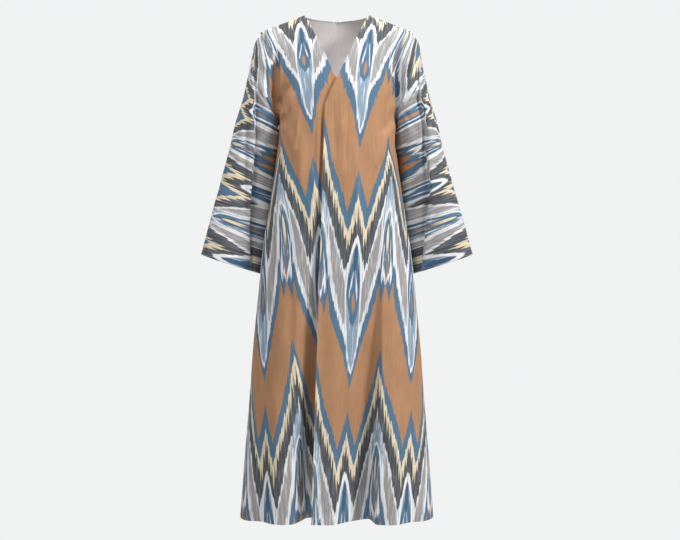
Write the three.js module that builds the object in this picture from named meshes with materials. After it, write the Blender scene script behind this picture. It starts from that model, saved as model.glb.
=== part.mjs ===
// A long duster coat of patterned cloth, filled out as if worn: two wrapped fronts with a V neck, a back, and
// two wide sleeves set into dropped armholes. Every piece is a cloth wall, open at the neck, hem, cuffs and
// armholes. Millimetres, +Z up. The front faces -Y and the wearer's left is +X. The origin lies midway
// between the two neck points.
import * as THREE from "three";

const LENGTH = 1350; // neck point to hem
const WALL = 1.6; // cloth thickness
const SEAM_GAP = 0.5; // between two pieces that are sewn together
const NECK_HALF = 86; // centre to neck point
const SHOULDER_SLOPE = 0.375; // fall of the shoulder seam for each millimetre outwards
const BACK_NECK_DROP = 5; // how far the back neckline dips at its centre
const CORNER_X = 30; // how far past the centre each neckline ends
const CORNER_Z = -250; // and its height there
const EDGE_HEM_X = 66; // how far past the centre each front edge lies at the hem
const UNDER_RECESS = 5; // how far the under front lies behind the over front
const RECESS_START = 60; // its x where that recess begins, from its own side
const RECESS_RUN = 50; // and the width over which it grows, as it does in height from the top down
const UNDERARM_Z = -294; // where sleeve and body part
const SHOULDER_BALL = 57; // radius of the rounded shoulder point
const SHOULDER_BALL_Z = -98; // height of its centre
const FRONT_RISE = 260; // height over which the front swells from the shoulder seam to its full depth
const BACK_RISE = 220; // and the back
const SECTION_POWER = 2.4; // how square the sections are; 2 is an ellipse
const VALLEY_GROWTH = 0.4; // how fast the valley between torso and arm softens above the underarm
const VALLEY_MAX = 28; // and its greatest softness
const CUFF_Z = -671.5; // height of the cuff's middle
const CUFF_TILT = 26.5; // the cuff's outer edge is this much higher, and its inner edge this much lower
const ROW_POWER = 1.6; // rows lie closer together at the shoulder seam
const SEAM_POWER = 1.5; // and columns closer together at the armhole
const NECK_SHARE = 0.42; // share of the back columns that lie along the neckline
const FOLD_GROWTH = 1.25; // how a hanging fold deepens from its start to the hem

const YOKE_ROWS = 12; // from the shoulder seam to the underarm
const SKIRT_ROWS = 20; // from the underarm to the hem
const FRONT_COLUMNS = 16;
const BACK_COLUMNS = 30;
const SLEEVE_ROWS = 12;

// Body sections: half width at the side seams, and depth in front of them and behind them.
const BODY = [
  { z: 0, half: 205, front: 104, back: 100 },
  { z: -60, half: 203, front: 105, back: 101 },
  { z: -110, half: 187, front: 106, back: 102 },
  { z: -160, half: 171, front: 107, back: 103 },
  { z: -220, half: 160, front: 108, back: 104 },
  { z: -294, half: 156, front: 109, back: 104 },
  { z: -360, half: 160, front: 109, back: 103 },
  { z: -497, half: 178, front: 110, back: 106 },
  { z: -632, half: 199, front: 112, back: 112 },
  { z: -767, half: 213, front: 113, back: 117 },
  { z: -902, half: 226, front: 114, back: 121 },
  { z: -1037, half: 236, front: 115, back: 125 },
  { z: -1172, half: 247, front: 116, back: 128 },
  { z: -1350, half: 260, front: 118, back: 132 },
];

// Sleeve sections: middle and half width across, half depth, and how far the inner edge is tucked back behind
// the body.
const SLEEVE = [
  { z: -98, mid: 168, half: 57, deep: 56, tuck: 0 },
  { z: -167, mid: 183, half: 57, deep: 56, tuck: 0 },
  { z: -227, mid: 197, half: 57, deep: 56, tuck: 0 },
  { z: -294, mid: 215.2, half: 58.6, deep: 56, tuck: 0 },
  { z: -350, mid: 223.4, half: 62.4, deep: 55, tuck: 18 },
  { z: -410, mid: 233.5, half: 68, deep: 54, tuck: 34 },
  { z: -475, mid: 246, half: 73, deep: 53, tuck: 42 },
  { z: -583, mid: 269, half: 81, deep: 51, tuck: 46 },
  { z: -700, mid: 291.5, half: 88.5, deep: 50, tuck: 48 },
];

// The armhole seam on the upper arm: turn is 0 at the outside of the arm, 90 at its front or back, 180 at the
// underarm.
const ARMHOLE = [
  { turn: 0, z: -70 },
  { turn: 30, z: -142 },
  { turn: 60, z: -194 },
  { turn: 90, z: -226 },
  { turn: 120, z: -252 },
  { turn: 150, z: -275 },
  { turn: 180, z: -294 },
];

// Hanging folds. x is across the body at the hem, before and after are the widths on its two sides, and depth
// is how far the cloth goes in there, or out if it is negative. It begins at the height from, and lean moves
// its upper end sideways. A step stays in past its middle as far as the edge of the cloth.
const OVER_FOLDS = [
  { x: 84, before: 105, after: 20, depth: 74, from: -560, lean: 22, step: false },
  { x: 196, before: 40, after: 34, depth: 12, from: -700, lean: -20, step: false },
  { x: 20, before: 34, after: 40, depth: 7, from: -300, lean: 6, step: false },
  { x: 146, before: 50, after: 64, depth: -15, from: -760, lean: 0, step: false },
];
const UNDER_FOLDS = [
  { x: -76, before: 44, after: 44, depth: 72, from: -520, lean: 14, step: true },
  { x: -150, before: 46, after: 40, depth: -11, from: -700, lean: 0, step: false },
  { x: -205, before: 40, after: 36, depth: 14, from: -700, lean: 18, step: false },
];
const BACK_FOLDS = [
  { x: -168, before: 46, after: 40, depth: 34, from: -620, lean: 24, step: false },
  { x: -62, before: 44, after: 52, depth: 46, from: -520, lean: 12, step: false },
  { x: 48, before: 50, after: 42, depth: 40, from: -580, lean: -8, step: false },
  { x: 152, before: 44, after: 42, depth: 42, from: -540, lean: -22, step: false },
];
const SLEEVE_CREASE = { turn: 112, width: 26, depth: 9, from: -190, grown: 120, to: -640, gone: 160 };

const clamp = (t, low = 0, high = 1) => Math.min(high, Math.max(low, t));
const mix = (a, b, t) => a + (b - a) * t;
const smooth = (t) => clamp(t) ** 2 * (3 - 2 * clamp(t));

// A smooth curve through one column of a table, by cubic pieces whose slopes come from the neighbouring rows.
function through(rows, key, column) {
  const at = rows.map((r) => r[key]);
  const value = rows.map((r) => r[column]);
  const step = at.slice(1).map((a, i) => (value[i + 1] - value[i]) / (a - at[i]));
  const slope = at.map((_, i) => {
    if (i === 0) return step[0];
    if (i === at.length - 1) return step[i - 1];
    return mix(step[i - 1], step[i], (at[i] - at[i - 1]) / (at[i + 1] - at[i - 1]));
  });
  const rising = at[1] > at[0];
  return (t) => {
    const x = rising ? clamp(t, at[0], at.at(-1)) : clamp(t, at.at(-1), at[0]);
    let i = 0;
    while (i < at.length - 2 && (rising ? x > at[i + 1] : x < at[i + 1])) i++;
    const h = at[i + 1] - at[i];
    const s = (x - at[i]) / h;
    const bend = s * (1 - s) * ((1 - s) * (slope[i] - step[i]) - s * (slope[i + 1] - step[i]));
    return mix(value[i], value[i + 1], s) + h * bend;
  };
}

const bodyHalf = through(BODY, "z", "half");
const bodyDepth = { front: through(BODY, "z", "front"), back: through(BODY, "z", "back") };
const armMid = through(SLEEVE, "z", "mid");
const armHalf = through(SLEEVE, "z", "half");
const armDeep = through(SLEEVE, "z", "deep");
const tuckCurve = through(SLEEVE, "z", "tuck");
const armTuck = (z) => Math.max(0, tuckCurve(z));
const armholeZ = through(ARMHOLE, "turn", "z");

// Above the middle of the shoulder ball the arm closes as a ball does.
const ballShare = (z) =>
  z < SHOULDER_BALL_Z ? 1 : Math.sqrt(clamp(1 - ((z - SHOULDER_BALL_Z) / SHOULDER_BALL) ** 2));

// Depth of the torso alone: its section times the swell below the shoulder seam.
function torsoDepth(x, z, side) {
  const rise = side === "front" ? FRONT_RISE : BACK_RISE;
  const below = (NECK_HALF - Math.abs(x)) * SHOULDER_SLOPE - z;
  const swell = Math.sqrt(clamp(1 - (1 - clamp(below / rise)) ** 2));
  const section = clamp(1 - (Math.abs(x) / bodyHalf(z)) ** SECTION_POWER) ** (1 / SECTION_POWER);
  return bodyDepth[side](z) * swell * section;
}

function armDepth(x, z) {
  const across = (Math.abs(x) - armMid(z)) / Math.max(armHalf(z) * ballShare(z), 1e-6);
  return armDeep(z) * ballShare(z) * Math.sqrt(clamp(1 - across ** 2));
}

// Depth of the yoke: torso and arm, joined over a soft valley that closes at the underarm.
function yokeDepth(x, z, side) {
  const torso = torsoDepth(x, z, side);
  const arm = armDepth(x, z);
  const soft = clamp((z - UNDERARM_Z) * VALLEY_GROWTH, 0.001, VALLEY_MAX);
  const near = clamp(1 - Math.abs(torso - arm) / soft);
  return Math.max(torso, arm) + (near * near * soft) / 4;
}

// The highest point of the cloth above a place on the shoulder, found by halving.
function ridgeZ(x) {
  let low = UNDERARM_Z;
  let high = 20;
  for (let i = 0; i < 40; i++) {
    const z = (low + high) / 2;
    if (Math.max(torsoDepth(x, z, "front"), armDepth(x, z)) > 0) low = z;
    else high = z;
  }
  return low;
}

// How far in the folds take the cloth at a place on the body.
function foldDepth(folds, x, z) {
  return folds.reduce((sum, f) => {
    const grown = clamp((f.from - z) / (f.from + LENGTH)) ** FOLD_GROWTH;
    const off = x - (f.x + f.lean * (1 - grown));
    const share = off < 0 ? 1 + off / f.before : f.step ? 1 : 1 - off / f.after;
    return sum + f.depth * grown * smooth(share);
  }, 0);
}

// A wall whose outer face is a grid of points: the inner face lies WALL behind it, and strips close the rim.
// A ring grid closes on itself across its columns.
function wall(name, points, { ring = false, flip = false }) {
  const rows = points.length;
  const columns = points[0].length;
  const wrap = (j) => (ring ? (j + columns) % columns : clamp(j, 0, columns - 1));
  const at = (i, j) => points[clamp(i, 0, rows - 1)][wrap(j)];
  const inner = points.map((row, i) =>
    row.map((p, j) => {
      const across = at(i, j + 1).clone().sub(at(i, j - 1));
      const down = at(i + 1, j).clone().sub(at(i - 1, j));
      const normal = across.cross(down);
      if (Math.abs(p.y) < SEAM_GAP) normal.setY(0);
      normal.normalize();
      return p.clone().addScaledVector(normal, flip ? -WALL : WALL);
    }),
  );
  const vertices = [...points.flat(), ...inner.flat()].flatMap((p) => [p.x, p.y, p.z]);
  const back = rows * columns;
  const faces = [];
  const quad = (a, b, c, d) => faces.push(...(flip ? [a, c, b, a, d, c] : [a, b, c, a, c, d]));
  const last = ring ? columns : columns - 1;
  for (let i = 0; i < rows - 1; i++) {
    for (let j = 0; j < last; j++) {
      const [a, b] = [i * columns + j, i * columns + wrap(j + 1)];
      const [c, d] = [b + columns, a + columns];
      quad(a, d, c, b);
      quad(back + a, back + b, back + c, back + d);
    }
  }
  for (let j = 0; j < last; j++) {
    const [a, b] = [j, wrap(j + 1)];
    const [c, d] = [(rows - 1) * columns + a, (rows - 1) * columns + b];
    quad(a, b, back + b, back + a);
    quad(c, back + c, back + d, d);
  }
  for (let i = 0; !ring && i < rows - 1; i++) {
    const [a, b] = [i * columns, (i + 1) * columns];
    const [c, d] = [a + columns - 1, b + columns - 1];
    quad(a, back + a, back + b, b);
    quad(c, d, back + d, back + c);
  }
  const geometry = new THREE.BufferGeometry();
  geometry.setAttribute("position", new THREE.Float32BufferAttribute(vertices, 3));
  geometry.setIndex(faces);
  geometry.computeVertexNormals();
  const cloth = new THREE.MeshStandardMaterial({ color: 0xb98a63, roughness: 0.85, metalness: 0 });
  cloth.side = THREE.DoubleSide;
  const mesh = new THREE.Mesh(geometry, cloth);
  mesh.name = name;
  return mesh;
}

// A point of the armhole seam in the front view.
function armholePoint(turn) {
  const z = armholeZ(turn);
  const across = Math.cos((turn * Math.PI) / 180) * armHalf(z) * ballShare(z);
  return { x: armMid(z) + across, z };
}

// The shoulder seam from the neck point to the armhole.
const SEAM_TOP = armholePoint(0);
function shoulderPoint(share) {
  const x = mix(NECK_HALF, SEAM_TOP.x, 1 - (1 - share) ** SEAM_POWER);
  return { x, z: share === 1 ? SEAM_TOP.z : ridgeZ(x) };
}

// A front's neckline and front edge, for the front whose edge lies past the centre on the minus X side.
const edgeX = (z) => {
  const fall = (CORNER_Z - z) / (CORNER_Z + LENGTH);
  return z > CORNER_Z ? mix(NECK_HALF, -CORNER_X, z / CORNER_Z) : -mix(CORNER_X, EDGE_HEM_X, fall);
};

// Angles of the section curve: x over the half width is sine, to a power that fits the section.
const sectionX = (angle) => Math.sign(angle) * Math.abs(Math.sin(angle)) ** (2 / SECTION_POWER);
const sectionAngle = (share) => Math.sign(share) * Math.asin(Math.abs(share) ** (SECTION_POWER / 2));

// A yoke grid in the front view: rows run from the top boundary to the underarm, columns between two edges.
function yokeGrid(columns, top, left, right, bottom) {
  return Array.from({ length: YOKE_ROWS }, (_, k) => {
    const q = (k / YOKE_ROWS) ** ROW_POWER;
    return Array.from({ length: columns + 1 }, (_, j) => {
      const c = j / columns;
      const blend = (axis) =>
        mix(top(c)[axis], bottom(c)[axis], q) +
        mix(left(k)[axis], right(k)[axis], c) -
        mix(mix(top(0)[axis], top(1)[axis], c), mix(bottom(0)[axis], bottom(1)[axis], c), q);
      return { x: blend("x"), z: blend("z") };
    });
  });
}

const seamTurn = (k) => (180 * k) / YOKE_ROWS;
const skirtZ = (k) => mix(UNDERARM_Z, -LENGTH, k / SKIRT_ROWS);
const mirror = (p) => ({ x: -p.x, z: p.z });

// A front, drawn as the over front; mirrored, recessed and with its own folds it is the under front.
function front(name, folds, under) {
  const angleAt = (z, c) => mix(sectionAngle(edgeX(z) / bodyHalf(z)), Math.PI / 2, c);
  const across = (z, c) => ({ x: bodyHalf(z) * sectionX(angleAt(z, c)), z });
  const neckZ = (k) => CORNER_Z * (k / (YOKE_ROWS - 1)) ** ROW_POWER;
  const grid = yokeGrid(
    FRONT_COLUMNS,
    shoulderPoint,
    (k) => ({ x: edgeX(neckZ(k)), z: neckZ(k) }),
    (k) => armholePoint(seamTurn(k)),
    (c) => across(UNDERARM_Z, c),
  );
  for (let k = 0; k <= SKIRT_ROWS; k++) {
    const z = skirtZ(k);
    grid.push(Array.from({ length: FRONT_COLUMNS + 1 }, (_, j) => across(z, j / FRONT_COLUMNS)));
  }
  const points = grid.map((row, i) =>
    row.map(({ x, z }, j) => {
      const onEdge = i === 0 || (i >= YOKE_ROWS && j === FRONT_COLUMNS);
      const sign = under ? -1 : 1;
      const aside = smooth((RECESS_START - x) / RECESS_RUN) * smooth(-z / RECESS_RUN);
      const recess = under ? UNDER_RECESS * aside : 0;
      const base = i < YOKE_ROWS ? yokeDepth(x, z, "front") : torsoDepth(x, z, "front");
      const depth = onEdge ? 0 : Math.max(0, base - recess - foldDepth(folds, sign * x, z));
      return new THREE.Vector3(sign * x, -depth - SEAM_GAP / 2, z);
    }),
  );
  return wall(name, points, { flip: under });
}

function back() {
  const top = (c) => {
    const share = Math.abs(2 * c - 1);
    if (share >= NECK_SHARE) {
      const p = shoulderPoint((share - NECK_SHARE) / (1 - NECK_SHARE));
      return c < 0.5 ? mirror(p) : p;
    }
    const x = (NECK_HALF * (2 * c - 1)) / NECK_SHARE;
    return { x, z: -BACK_NECK_DROP * (1 - (x / NECK_HALF) ** 2) };
  };
  const across = (z, c) => ({ x: bodyHalf(z) * sectionX(mix(-Math.PI / 2, Math.PI / 2, c)), z });
  const grid = yokeGrid(
    BACK_COLUMNS,
    top,
    (k) => mirror(armholePoint(seamTurn(k))),
    (k) => armholePoint(seamTurn(k)),
    (c) => across(UNDERARM_Z, c),
  );
  for (let k = 0; k <= SKIRT_ROWS; k++) {
    const z = skirtZ(k);
    grid.push(Array.from({ length: BACK_COLUMNS + 1 }, (_, j) => across(z, j / BACK_COLUMNS)));
  }
  const points = grid.map((row, i) =>
    row.map(({ x, z }, j) => {
      const atSide = i >= YOKE_ROWS && (j === 0 || j === BACK_COLUMNS);
      const onShoulder = i === 0 && Math.abs(x) >= NECK_HALF - 0.01;
      const base = i < YOKE_ROWS ? yokeDepth(x, z, "back") : torsoDepth(x, z, "back");
      const depth = atSide || onShoulder ? 0 : Math.max(0, base - foldDepth(BACK_FOLDS, x, z));
      return new THREE.Vector3(x, depth + SEAM_GAP / 2, z);
    }),
  );
  return wall("back", points, { flip: true });
}

// A sleeve: rings from the armhole seam to the cuff, with one long crease down its front.
function sleeve(name, sign) {
  const ring = 2 * YOKE_ROWS;
  const points = Array.from({ length: SLEEVE_ROWS + 1 }, (_, k) =>
    Array.from({ length: ring }, (_, j) => {
      const turn = mix(-180, 180, j / ring);
      const angle = (turn * Math.PI) / 180;
      const start = armholeZ(Math.abs(turn)) - 2 * SEAM_GAP;
      const z = mix(start, CUFF_Z + CUFF_TILT * Math.cos(angle), k / SLEEVE_ROWS);
      const { turn: middle, width, depth, from, grown, to, gone } = SLEEVE_CREASE;
      const along = smooth((from - z) / grown) * smooth((z - to) / gone);
      const crease = depth * along * smooth(1 - Math.abs(turn - middle) / width);
      const x = armMid(z) + Math.cos(angle) * armHalf(z) * ballShare(z);
      const y = -Math.sin(angle) * (armDeep(z) * ballShare(z) - crease);
      return new THREE.Vector3(sign * x, y + (armTuck(z) * (1 - Math.cos(angle))) / 2, z);
    }),
  );
  return wall(name, points, { ring: true, flip: sign > 0 });
}

const coat = new THREE.Group();
coat.add(front("front_left", OVER_FOLDS, false));
coat.add(front("front_right", UNDER_FOLDS, true));
coat.add(back());
coat.add(sleeve("sleeve_left", 1));
coat.add(sleeve("sleeve_right", -1));

export default coat;
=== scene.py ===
import math

import bpy
import numpy as np
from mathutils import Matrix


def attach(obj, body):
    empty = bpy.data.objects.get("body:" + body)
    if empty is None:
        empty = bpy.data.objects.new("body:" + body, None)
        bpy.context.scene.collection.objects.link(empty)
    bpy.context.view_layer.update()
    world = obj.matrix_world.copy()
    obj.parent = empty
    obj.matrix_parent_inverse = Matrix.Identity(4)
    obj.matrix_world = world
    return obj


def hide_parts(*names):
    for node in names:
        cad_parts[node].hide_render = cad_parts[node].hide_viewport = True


bl_info = {
    "name": "Duster Coat",
    "version": (1, 0, 0),
    "blender": (4, 5, 0),
    "location": "View3D > Sidebar > Duster Coat",
    "description": "A long wrap-front duster coat of warp-dyed cloth, filled out as if worn",
    "category": "Add Mesh",
}

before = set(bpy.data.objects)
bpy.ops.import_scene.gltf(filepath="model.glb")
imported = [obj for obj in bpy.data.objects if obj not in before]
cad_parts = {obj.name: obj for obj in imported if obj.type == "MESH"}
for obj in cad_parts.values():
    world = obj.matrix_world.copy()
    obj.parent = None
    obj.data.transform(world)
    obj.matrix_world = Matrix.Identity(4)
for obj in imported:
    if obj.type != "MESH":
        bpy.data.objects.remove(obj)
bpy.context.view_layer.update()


# ---- sizes, in millimetres, with the origin between the two neck points and the front towards -Y ----


def table(columns, *rows):
    """Rows of numbers as named arrays, one for each column."""
    return dict(zip(columns.split(), np.array(rows, float).T))


BODY = table(
    "z half front back",
    (0, 205, 104, 100),
    (-60, 203, 105, 101),
    (-110, 187, 106, 102),
    (-160, 171, 107, 103),
    (-220, 160, 108, 104),
    (-294, 156, 109, 104),
    (-360, 160, 109, 103),
    (-497, 178, 110, 106),
    (-632, 199, 112, 112),
    (-767, 213, 113, 117),
    (-902, 226, 114, 121),
    (-1037, 236, 115, 125),
    (-1172, 247, 116, 128),
    (-1350, 260, 118, 132),
)
SLEEVE = table(
    "z mid half deep tuck",
    (-98, 168, 57, 56, 0),
    (-167, 183, 57, 56, 0),
    (-227, 197, 57, 56, 0),
    (-294, 215.2, 58.6, 56, 0),
    (-350, 223.4, 62.4, 55, 18),
    (-410, 233.5, 68, 54, 34),
    (-475, 246, 73, 53, 42),
    (-583, 269, 81, 51, 46),
    (-700, 291.5, 88.5, 50, 48),
)
ARMHOLE = table(
    "turn z", (0, -70), (30, -142), (60, -194), (90, -226), (120, -252), (150, -275), (180, -294)
)
LENGTH = 1350
NECK_HALF = 86
SHOULDER_SLOPE = 0.375
BACK_NECK_DROP = 5
CORNER_X, CORNER_Z = 30, -250  # where each neckline meets the front edge
EDGE_HEM_X = 66
UNDER_RECESS, RECESS_START, RECESS_RUN = 5, 60, 50
UNDERARM_Z = -294
BALL, BALL_Z = 57, -98  # the rounded shoulder point
FRONT_RISE, BACK_RISE = 260, 220
SECTION_POWER = 2.4
VALLEY_GROWTH, VALLEY_MAX = 0.4, 28
CUFF_Z, CUFF_TILT = -671.5, 26.5
NECK_SHARE = 0.42
FOLD_GROWTH = 1.25
FOLD_SHARE = 0.3  # how much of a hanging fold's extra cloth shows in the run of the pattern

# Hanging folds: place at the hem, widths on its two sides, depth, start, lean, and whether it stays in past
# its middle.
FOLD_COLUMNS = "x before after depth start lean step"
OVER_FOLDS = table(
    FOLD_COLUMNS,
    (84, 105, 20, 74, -560, 22, 0),
    (196, 40, 34, 12, -700, -20, 0),
    (20, 34, 40, 7, -300, 6, 0),
    (146, 50, 64, -15, -760, 0, 0),
)
UNDER_FOLDS = table(
    FOLD_COLUMNS,
    (-76, 44, 44, 72, -520, 14, 1),
    (-150, 46, 40, -11, -700, 0, 0),
    (-205, 40, 36, 14, -700, 18, 0),
)
BACK_FOLDS = table(
    FOLD_COLUMNS,
    (-168, 46, 40, 34, -620, 24, 0),
    (-62, 44, 52, 46, -520, 12, 0),
    (48, 50, 42, 40, -580, -8, 0),
    (152, 44, 42, 42, -540, -22, 0),
)

# Soft creases: from one end to the other in the front view, bow sideways, half width, and rise. A trough's
# rise is negative.
CREASE_COLUMNS = "x0 z0 x1 z1 bow wide rise"
OVER_CREASES = table(
    CREASE_COLUMNS,
    (150, -250, 118, -330, -6, 9, -5.0),
    (156, -282, 112, -420, 10, 13, 4.5),
    (100, -365, 108, -430, 3, 6, 2.4),
    (-6, -240, -2, -400, 3, 7, -2.6),
    (14, -260, 10, -470, -4, 12, 2.2),
    (60, -330, 84, -760, -10, 22, -4.0),
    (150, -380, 128, -640, 8, 16, -3.4),
    (176, -520, 160, -900, 6, 20, 3.2),
    (120, -70, 74, -190, 10, 16, -2.6),
    (196, -130, 160, -240, -8, 10, -5.5),
    (205, -80, 186, -180, 4, 12, 2.8),
    (40, -620, 52, -1180, 10, 24, 3.5),
    (225, -900, 236, -1340, 4, 16, -4.0),
    (-28, -520, -40, -1000, 6, 16, -2.4),
    (140, -960, 150, -1345, -6, 15, 3.5),
    (2, -185, -3, -400, -3, 2.4, -1.8),
    (-6, -200, -9, -385, 2, 2.2, -1.5),
    (101, -335, 102, -410, 0, 2.4, -1.8),
    (140, -205, 128, -330, 3, 5, -3.4),
    (150, -215, 141, -345, -2, 5, 3.4),
    (36, -210, 24, -430, 4, 4, -2.4),
    (46, -330, 52, -560, -3, 6, 2.6),
)
UNDER_CREASES = table(
    CREASE_COLUMNS,
    (-150, -292, -114, -205, 6, 8, 5.5),
    (-152, -262, -120, -190, -6, 8, -4.0),
    (-154, -288, -104, -400, -10, 12, 4.0),
    (-62, -300, -70, -520, 6, 11, -3.2),
    (-96, -300, -100, -480, -4, 9, 2.4),
    (-112, -720, -122, -905, 4, 14, -5.0),
    (-170, -560, -184, -980, -8, 20, -3.6),
    (-140, -420, -150, -700, 6, 16, 3.2),
    (-112, -80, -70, -180, -8, 16, -2.4),
    (-196, -130, -160, -244, 8, 10, -5.5),
    (-206, -84, -188, -176, -4, 12, 2.6),
    (-228, -880, -240, -1340, -4, 16, -4.0),
    (-154, -980, -166, -1345, 6, 15, 3.2),
    (-118, -196, -147, -306, 3, 5, 4.2),
    (-124, -240, -137, -350, -3, 5, -3.6),
    (-138, -186, -152, -280, 2, 5, -3.4),
    (-100, -250, -118, -420, -4, 6, 3.0),
    (-52, -250, -58, -470, 3, 5, -2.2),
)
BACK_CREASES = table(
    CREASE_COLUMNS,
    (-154, -290, -90, -220, 8, 11, 4.0),
    (156, -288, 96, -210, -8, 11, 4.5),
    (-150, -262, -84, -330, -6, 12, -3.0),
    (152, -268, 92, -350, 6, 12, -3.4),
    (-30, -120, -44, -420, -8, 20, -3.0),
    (34, -160, 40, -520, 8, 22, -2.6),
    (-196, -130, -160, -244, 8, 11, -4.5),
    (198, -136, 162, -240, -8, 11, -4.5),
    (-110, -380, -120, -900, 8, 22, 3.6),
    (100, -420, 112, -960, -8, 22, 3.2),
    (-8, -560, -4, -1300, 6, 20, 3.6),
    (-228, -860, -240, -1340, -4, 16, -3.6),
    (226, -900, 238, -1340, 4, 16, -3.6),
)
# Sleeve creases run between places given by turn round the arm and height; they share the columns above.
LEFT_SLEEVE_CREASES = table(
    CREASE_COLUMNS,
    (52, -240, 124, -640, -6, 7, -6.5),
    (76, -210, 150, -640, -4, 12, -6.0),
    (128, -250, 100, -330, 4, 9, -4.0),
    (18, -150, 34, -420, 6, 12, -2.6),
    (20, -430, 30, -655, 4, 12, 2.4),
    (-60, -190, -100, -620, 6, 13, -5.5),
    (-128, -300, -130, -600, 4, 14, 3.0),
    (-20, -260, -36, -640, -6, 13, -2.4),
)
RIGHT_SLEEVE_CREASES = table(
    CREASE_COLUMNS,
    (58, -232, 120, -630, 6, 7, -7.0),
    (82, -230, 146, -650, 4, 12, -6.0),
    (130, -262, 104, -350, -4, 9, -3.6),
    (22, -160, 30, -380, -6, 12, -2.6),
    (14, -450, 26, -655, -4, 12, 2.6),
    (-66, -200, -94, -600, -6, 13, -5.0),
    (-126, -320, -134, -620, -4, 14, 3.0),
    (-22, -240, -30, -620, 6, 13, -2.6),
)

# ---- the warp-dyed pattern: one repeat, charted in units along the cloth ----

UNIT = 2.608  # millimetres of cloth to a chart unit
REPEAT = 237.0  # chart units down the warp
COLUMN = 32.0  # from an A line to the next B line: motifs lie along the two kinds of line by turns
# Edges between colours, each as points: share of the way from an A line to a B line, and height in the repeat,
# which runs down the coat. At the first the camel field ends and blue begins. Past each of the others lies its
# colour; its two numbers are how far it follows the shifts of the threads, and how tall its spikes are.
FIRST_EDGE = [(0, 0), (0.28, 38), (0.39, 22), (0.6, 2), (0.81, -18), (1, -48)]
EDGES = [
    ("cream", 0.7, 2.5, [(0, 22), (0.26, 61), (0.56, 22), (0.68, 12), (0.77, 2), (0.9, -18), (1, -30)]),
    ("charcoal", 2.0, 13.0, [(0, 38), (0.24, 76), (0.5, 43), (0.74, 17), (0.79, 9), (0.9, -2), (1, -14)]),
    ("white", 1.0, 4.0, [(0, 65), (0.29, 104), (0.48, 82), (0.61, 62), (0.77, 42), (0.92, 22), (1, 8)]),
    ("taupe", 2.0, 3.0, [(0, 165), (0.2, 160), (0.26, 120), (0.355, 105), (0.435, 93)]
        + [(0.6, 74), (0.69, 58), (0.8, 48), (1, 48)]),
    ("white", 2.0, 4.0, [(0, 165), (0.2, 166), (0.27, 160), (0.4, 144), (0.5, 128)]
        + [(0.6, 110), (0.7, 90), (0.8, 48), (1, 48)]),
    ("blue", 0.9, 3.0, [(0, 202), (0.2, 180), (0.36, 160), (0.55, 139), (0.66, 118)]
        + [(0.74, 102), (0.853, 122), (0.93, 102), (1, 98)]),
    ("camel", 0.7, 1.5, [(0, 222), (0.17, 200), (0.32, 182), (0.545, 160), (0.69, 141)]
        + [(0.76, 121), (0.865, 141), (1, 122)]),
]
STRAYS_FROM = EDGES[2][-1]  # stray threads show in the white and grey bands alone
# Lens shapes along a line: which line, distance from it at the first and last height, those heights, half
# width, colour, and how much of it shows through its streaks.
LENSES = [
    ("A", 0.0, 0.0, 64, 209, 8.1, "white", 1.0),
    ("A", 0.0, 0.0, 74, 205, 6.9, "light_blue", 0.95),
    ("A", 0.0, 0.0, 90, 163, 6.4, "blue", 1.0),
    ("A", 3.6, 5.6, 102, 138, 1.3, "dark_blue", 0.9),
    ("A", 0.6, 4.4, 102, 138, 0.9, "white", 1.0),
    ("A", 0.0, 0.0, 72, 106, 2.5, "dark_blue", 1.0),
    ("A", 0.0, 0.0, 129, 152, 1.9, "camel", 1.0),
    ("B", 0.0, 0.0, 12, 100, 6.8, "light_blue", 0.75),
    ("B", 0.0, 0.0, 42, 124, 6.8, "white", 1.0),
    ("B", 0.0, 0.0, 46, 118, 5.7, "blue", 0.95),
    ("B", 0.0, 0.0, 54, 100, 2.8, "dark_blue", 1.0),
    ("B", 0.0, 0.0, 58, 96, 1.8, "cream", 1.0),
    ("B", 4.6, 7.4, 74, 122, 1.5, "dark_blue", 0.9),
    ("B", 3.0, 6.2, 76, 122, 0.8, "white", 1.0),
    ("B", 0.0, 0.0, 82, 128, 1.2, "brown", 1.0),
]
# How the pattern runs on each front, in chart units: how far from the front edge its first A line, its B
# line and its second A line lie, and how far it is shifted along the warp at the front edge, at the A lines
# and at the B line.
FLOW_COLUMNS = "z first second third at_edge at_a at_b"
OVER_FLOW = table(
    FLOW_COLUMNS,
    (0, 35.2, 78.0, 106, 0, -20, -10),
    (-35, 35.1, 75.0, 103, 0, -19, -12),
    (-62, 34.8, 71.0, 99, 0, -13, -14),
    (-88, 35.0, 68.0, 96, 0, -3, -16),
    (-121, 35.6, 66.6, 94, 0, 2, -17),
    (-157, 36.6, 67.0, 95, 0, 6, -15),
    (-207, 37.7, 69.8, 98, 0, 18, -9),
    (-260, 37.6, 71.0, 99, 0, 14, -14),
    (-311, 36.8, 66.6, 95, 1, 7, -14),
    (-370, 36.5, 68.0, 98, -3, 4.4, -10),
    (-430, 35.8, 73.0, 103, -7, -1.8, 1),
    (-595, 36.1, 69.2, 101, -6, -3, 4),
    (-750, 34.8, 67.2, 100, -4, 4, 7),
    (-890, 34.0, 64.0, 99, -5, 3.4, 10),
    (-945, 33.6, 63.2, 99, -3, 2.9, 7),
    (-1000, 33.4, 63.5, 100, -6, 1.5, 4),
    (-1055, 32.6, 64.0, 101, -10, -5.6, 2),
    (-1210, 32.3, 64.9, 100.5, -11, -4.3, 9),
    (-1350, 32.2, 65.5, 100, -11, -4, 9),
)
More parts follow.
